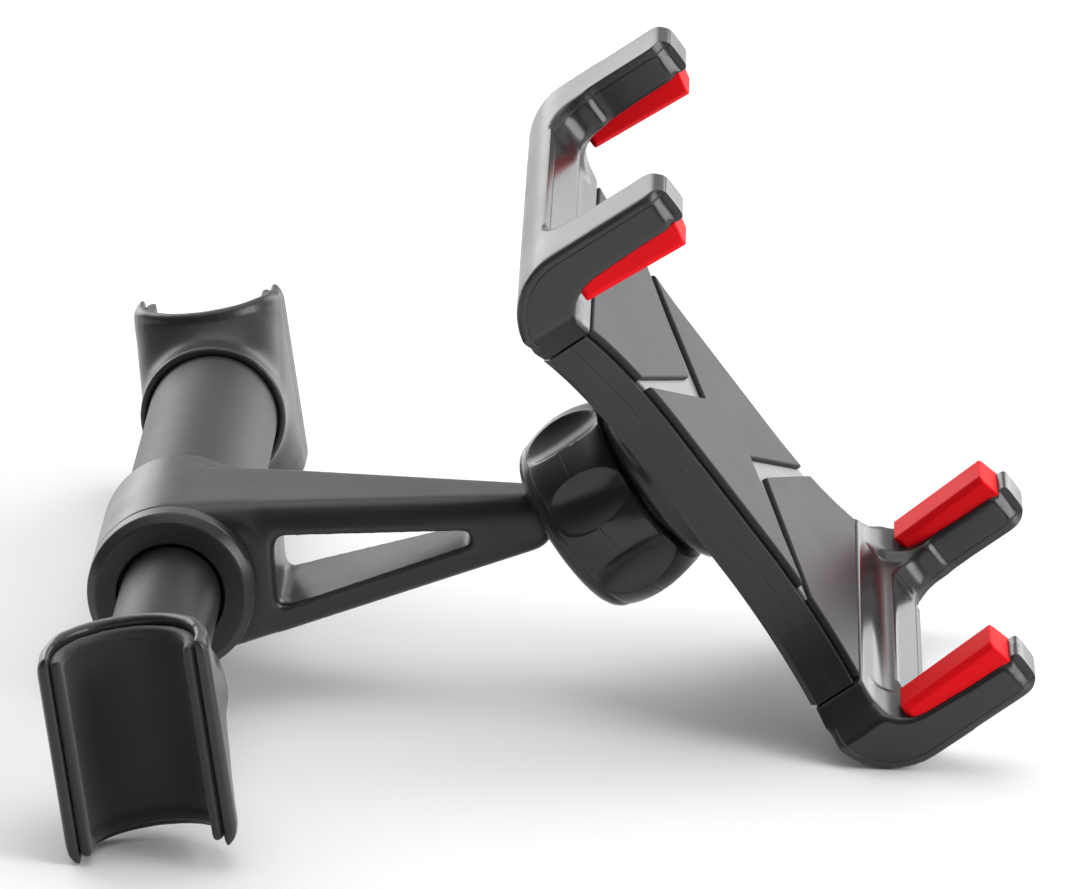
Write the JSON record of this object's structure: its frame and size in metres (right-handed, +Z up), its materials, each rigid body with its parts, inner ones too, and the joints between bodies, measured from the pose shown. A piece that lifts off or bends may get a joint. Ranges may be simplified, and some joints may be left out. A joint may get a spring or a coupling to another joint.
{
  "type": "car game console holder",
  "caption": "Sprung holder with padded jaws for a handheld console, ball-jointed to an arm on a telescopic bar that clamps between headrest posts.",
  "frame": {"origin": "middle of the whole thing's box, on the table it rests on", "axes": "+Y along the telescopic bar towards the fixed bracket, +X out along the arm to the holder, +Z up"},
  "size_m": [0.152, 0.1988, 0.1039],
  "materials": {
    "black_plastic": "fine satin grain",
    "gloss_plastic": "smooth semi-gloss",
    "nut_plastic": "smooth semi-gloss",
    "tube_paint": "satin powder coat",
    "liner_rubber": "dull soft liner",
    "bush_plastic": "plain",
    "ball_metal": "satin",
    "strip_plastic": "satin, pale grey",
    "pad_rubber": "smooth red rubber"
  },
  "bodies": {
    "outer_bar": {"outer_tube": "tube_paint", "far_bracket": "black_plastic", "far_liner": "liner_rubber", "tube_bush": "bush_plastic", "hub_ring": "black_plastic"},
    "inner_bar": {"inner_tube": "tube_paint", "slide_bush": "bush_plastic", "near_bracket": "black_plastic", "near_liner": "liner_rubber", "reducer_sleeve": "bush_plastic"},
    "arm": {"arm_near_half": "black_plastic", "arm_far_half": "black_plastic", "ball_stud": "ball_metal"},
    "cup": {"ball_cup": "bush_plastic"},
    "seat": {"ball_seat": "bush_plastic"},
    "holder": {"socket": "black_plastic", "rear_shell": "black_plastic", "front_shell": "black_plastic", "centre_plate": "black_plastic", "upper_plate": "black_plastic", "lower_plate": "black_plastic", "upper_strip": "strip_plastic", "lower_strip": "strip_plastic"},
    "nut": {"lock_nut": "nut_plastic"},
    "top_jaw": {"upper_jaw": "gloss_plastic", "upper_cover": "black_plastic", "upper_pad_near": "pad_rubber", "upper_pad_far": "pad_rubber"},
    "bottom_jaw": {"lower_jaw": "gloss_plastic", "lower_cover": "black_plastic", "lower_pad_near": "pad_rubber", "lower_pad_far": "pad_rubber"}
  },
  "joints": [
    {"name": "bar_slide", "type": "slide", "parent": "outer_bar", "child": "inner_bar", "axis": [0.0002, 1, -0.0071], "range_m": [0, 0.045], "stiffness_N_per_m": 300, "springref_m": -0.05},
    {"name": "arm_turn", "type": "hinge", "parent": "outer_bar", "child": "arm", "pos_m": [-0.06081, -0.00774, 0.01929], "axis": [0.0002, 1, -0.0071], "range_deg": [-60, 75]},
    {"name": "ball_tilt", "type": "hinge", "parent": "arm", "child": "cup", "pos_m": [0.00954, -0.00766, 0.03268], "axis": [-0.0059, 0.9935, 0.1133], "range_deg": [-2, 20]},
    {"name": "ball_swing", "type": "hinge", "parent": "cup", "child": "seat", "pos_m": [0.00954, -0.00766, 0.03268], "axis": [-0.607, -0.0936, 0.7892], "range_deg": [-7, 7]},
    {"name": "holder_turn", "type": "hinge", "parent": "seat", "child": "holder", "pos_m": [0.00954, -0.00766, 0.03268], "axis": [0.7947, -0.0641, 0.6036], "range_deg": [-90, 90]},
    {"name": "nut_turn", "type": "hinge", "parent": "holder", "child": "nut", "pos_m": [0.00954, -0.00766, 0.03268], "axis": [0.7947, -0.0641, 0.6036], "range_deg": [-120, 0]},
    {"name": "top_jaw_slide", "type": "slide", "parent": "holder", "child": "top_jaw", "axis": [-0.607, -0.0936, 0.7892], "range_m": [0, 0.022], "stiffness_N_per_m": 250, "springref_m": -0.04},
    {"name": "bottom_jaw_slide", "type": "slide", "parent": "holder", "child": "bottom_jaw", "axis": [0.607, 0.0936, -0.7892], "range_m": [0, 0.022], "stiffness_N_per_m": 250, "springref_m": -0.04}
  ]
}
